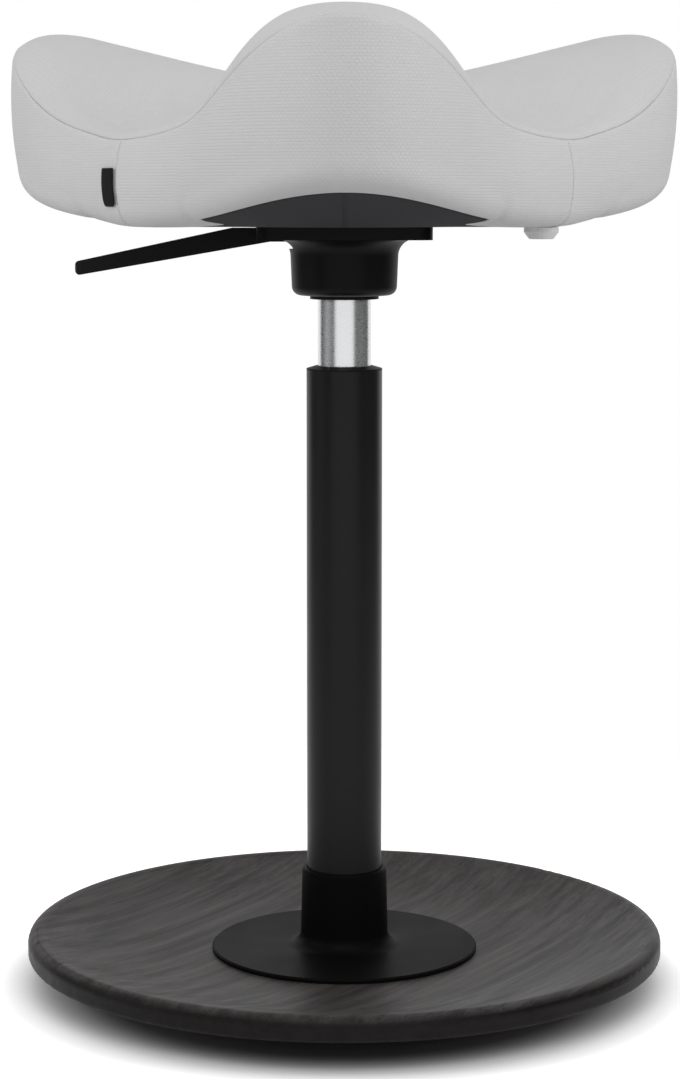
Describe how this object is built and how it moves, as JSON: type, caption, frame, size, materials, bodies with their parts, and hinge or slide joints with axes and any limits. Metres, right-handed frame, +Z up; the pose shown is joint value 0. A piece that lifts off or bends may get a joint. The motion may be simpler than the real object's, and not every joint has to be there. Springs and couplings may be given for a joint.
{
  "type": "wobble stool",
  "caption": "Height-adjustable stool with a three-lobed upholstered saddle seat on a gas column and a dished disc base that rocks.",
  "frame": {"origin": "on the floor under the column's axis, at the middle of the base pad's lower face", "axes": "+Z up along the column; the front lobe of the seat points to -Y; the height lever points to -X"},
  "size_m": [0.4556, 0.4667, 0.636],
  "materials": {
    "seat_fabric": "light grey woven wool blend",
    "underside_fabric": "charcoal non-woven",
    "foam": "moulded polyurethane foam",
    "plywood": "raw birch plywood",
    "stained_wood": "black-stained ash, satin lacquer",
    "black_metal": "fine matt powder coat",
    "chrome": "polished chrome",
    "steel": "bright zinc",
    "black_plastic": "fine grained",
    "grey_plastic": "light grey, satin",
    "tag_fabric": "black woven, blank",
    "soft_rubber": "matt"
  },
  "bodies": {
    "stand": {"floor_pad": "soft_rubber", "base_disc": "stained_wood", "base_flange": "black_metal", "base_bolt": "steel", "base_washer": "steel", "column_plug": "steel", "outer_column": "black_metal", "bearing_plate": "steel", "lower_race": "steel", "guide_bushing": "black_plastic"},
    "spindle": {"thrust_balls": "steel", "ball_cage": "black_plastic", "upper_race": "steel", "bump_stop": "soft_rubber", "rod_clip": "steel", "piston_rod": "chrome", "piston": "steel", "piston_ring": "soft_rubber", "piston_nut": "steel"},
    "seat": {"pressure_tube": "chrome", "gas_cylinder": "steel", "rod_guide": "steel", "rod_seal": "soft_rubber", "valve_body": "steel", "mechanism_housing": "black_metal", "mechanism_ring": "black_plastic", "lever_pin": "steel", "seat_screws": "steel", "seat_washers": "steel", "tee_nuts": "steel", "seat_board": "plywood", "seat_foam": "foam", "top_cover": "seat_fabric", "front_side_cover": "seat_fabric", "left_side_cover": "seat_fabric", "right_side_cover": "seat_fabric", "bottom_cover": "underside_fabric", "seat_tag": "tag_fabric", "seat_bumper": "grey_plastic"},
    "lever": {"height_lever": "black_plastic"},
    "valve": {"release_pin": "steel"}
  },
  "joints": [
    {"name": "seat_swivel", "type": "hinge", "parent": "stand", "child": "spindle", "pos_m": [0, 0, 0.07], "axis": [0, 0, 1], "continuous": true},
    {"name": "seat_height", "type": "slide", "parent": "spindle", "child": "seat", "axis": [0, 0, 1], "range_m": [-0.038, 0.227]},
    {"name": "lever_lift", "type": "hinge", "parent": "seat", "child": "lever", "pos_m": [-0.052, 0, 0.501], "axis": [0, 1, 0], "range_deg": [0, 2.5], "stiffness_Nm_per_rad": 8, "springref_deg": -8.59},
    {"name": "valve_press", "type": "slide", "parent": "seat", "child": "valve", "axis": [0, 0, -1], "range_m": [0, 0.00229]}
  ],
  "couplings": [
    {"joint": "valve_press", "follows": "lever_lift", "m_per_rad": 0.052}
  ]
}
